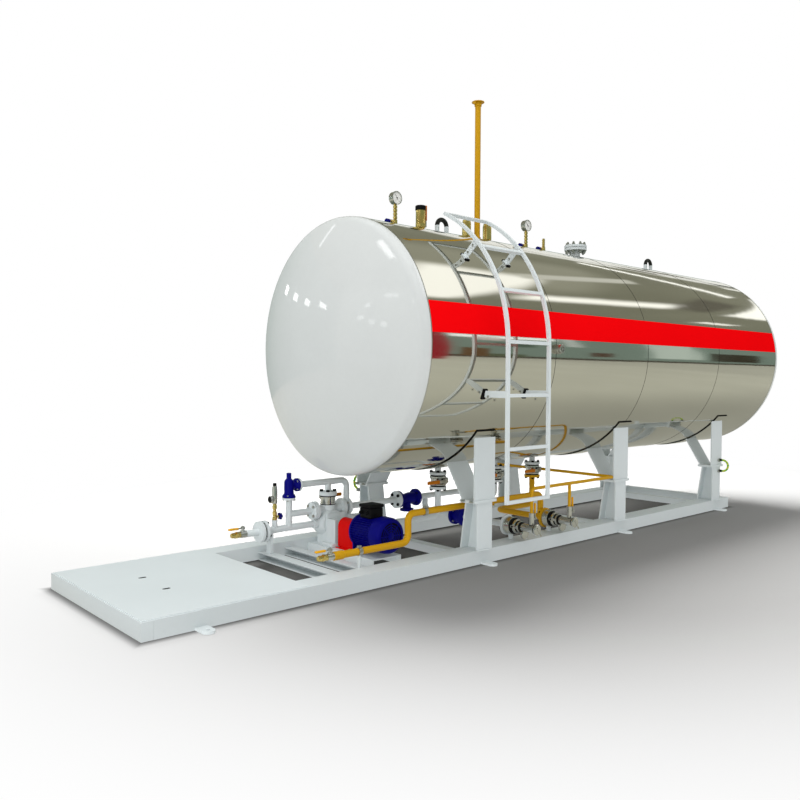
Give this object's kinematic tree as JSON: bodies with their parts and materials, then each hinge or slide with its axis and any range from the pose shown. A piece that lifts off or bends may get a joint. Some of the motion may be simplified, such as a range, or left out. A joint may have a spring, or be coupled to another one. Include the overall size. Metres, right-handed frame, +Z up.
{
  "type": "skid-mounted horizontal pressure tank",
  "caption": "Horizontal cylindrical pressure tank with dished ends on a skid, with saddle legs, ladder, vent stack, pump set, painted pipework and hand valves",
  "frame": {"origin": "centre of the anchor bolt rectangle at the first and last legs, on the ground under the tank's middle", "axes": "+X along the tank away from the pump end, +Z up, -Y is the ladder side"},
  "size_m": [6.2694, 1.74, 3.1653],
  "materials": {
    "polished_shell": "mirror polished sheet with a bare red band along the side",
    "white_gloss": "gloss paint",
    "white_paint": "satin paint",
    "brass": "machined",
    "steel": "machined",
    "navy_paint": "satin paint",
    "yellow_paint": "satin paint",
    "yellow_sleeve": "dipped vinyl",
    "orange_sleeve": "dipped vinyl",
    "black_plastic": "moulded",
    "red_paint": "gloss paint",
    "bond_sheath": "striped sheath"
  },
  "bodies": {
    "skid": {"tank_shell": "polished_shell", "front_head": "white_gloss", "rear_head": "white_gloss", "saddle_pads": "polished_shell", "near_rail": "white_paint", "far_rail": "white_paint", "cross_members": "white_paint", "deck_plate": "white_paint", "anchor_lugs": "white_paint", "leg_pedestals": "white_paint", "leg_uprights": "white_paint", "ladder_stiles": "white_paint", "ladder_rungs": "white_paint", "ladder_straps": "white_paint", "gauge_stems": "brass", "gauge_dials": "steel", "relief_valves": "brass", "vent_stack": "yellow_paint", "lifting_eyes": "white_paint", "blind_nozzle": "white_paint", "side_plug": "steel", "pump_base": "white_paint", "motor_frame": "navy_paint", "motor_cowl": "navy_paint", "terminal_box": "black_plastic", "coupling_guard": "red_paint", "pump_casing": "white_paint", "inlet_valve": "steel", "outlet_valves": "steel", "suction_line": "white_paint", "discharge_line": "white_paint", "safety_valve": "navy_paint", "sampling_point": "brass", "hose_stub_pipe": "white_paint", "small_valves": "steel", "hose_noses": "brass", "bypass_valve": "navy_paint", "return_line": "white_paint", "check_valve": "navy_paint", "vapour_line": "yellow_paint", "bleed_line": "yellow_paint", "fill_couplings": "steel", "pipe_supports": "white_paint", "earth_bonds": "bond_sheath"},
    "suction_lever": {"suction_lever": "orange_sleeve"},
    "return_lever": {"return_lever": "orange_sleeve"},
    "vapour_lever": {"vapour_lever": "orange_sleeve"},
    "inlet_lever": {"inlet_lever": "orange_sleeve"},
    "white_hose_lever": {"white_hose_lever": "yellow_sleeve"},
    "yellow_hose_lever": {"yellow_hose_lever": "yellow_sleeve"},
    "fill_bleed_lever": {"fill_bleed_lever": "yellow_sleeve"},
    "vapour_bleed_lever": {"vapour_bleed_lever": "yellow_sleeve"}
  },
  "joints": [
    {"name": "suction_turn", "type": "hinge", "parent": "skid", "child": "suction_lever", "pos_m": [-1.388, -0.072, 0.454], "axis": [0, -1, 0], "range_deg": [0, 90]},
    {"name": "return_turn", "type": "hinge", "parent": "skid", "child": "return_lever", "pos_m": [-0.791, -0.072, 0.454], "axis": [0, -1, 0], "range_deg": [0, 90]},
    {"name": "vapour_turn", "type": "hinge", "parent": "skid", "child": "vapour_lever", "pos_m": [-0.343, -0.072, 0.454], "axis": [0, -1, 0], "range_deg": [0, 90]},
    {"name": "inlet_turn", "type": "hinge", "parent": "skid", "child": "inlet_lever", "pos_m": [-2.075, 0.432, 0.359], "axis": [0, -1, 0], "range_deg": [0, 90]},
    {"name": "white_hose_turn", "type": "hinge", "parent": "skid", "child": "white_hose_lever", "pos_m": [-2.73, 0.36, 0.234], "axis": [0, 0, 1], "range_deg": [0, 90]},
    {"name": "yellow_hose_turn", "type": "hinge", "parent": "skid", "child": "yellow_hose_lever", "pos_m": [-2.63, -0.4, 0.211], "axis": [0, 0, -1], "range_deg": [0, 90]},
    {"name": "fill_bleed_turn", "type": "hinge", "parent": "skid", "child": "fill_bleed_lever", "pos_m": [-1.131, -0.65, 0.247], "axis": [1, 0, 0], "range_deg": [0, 90]},
    {"name": "vapour_bleed_turn", "type": "hinge", "parent": "skid", "child": "vapour_bleed_lever", "pos_m": [-0.715, -0.65, 0.247], "axis": [1, 0, 0], "range_deg": [0, 90]}
  ]
}
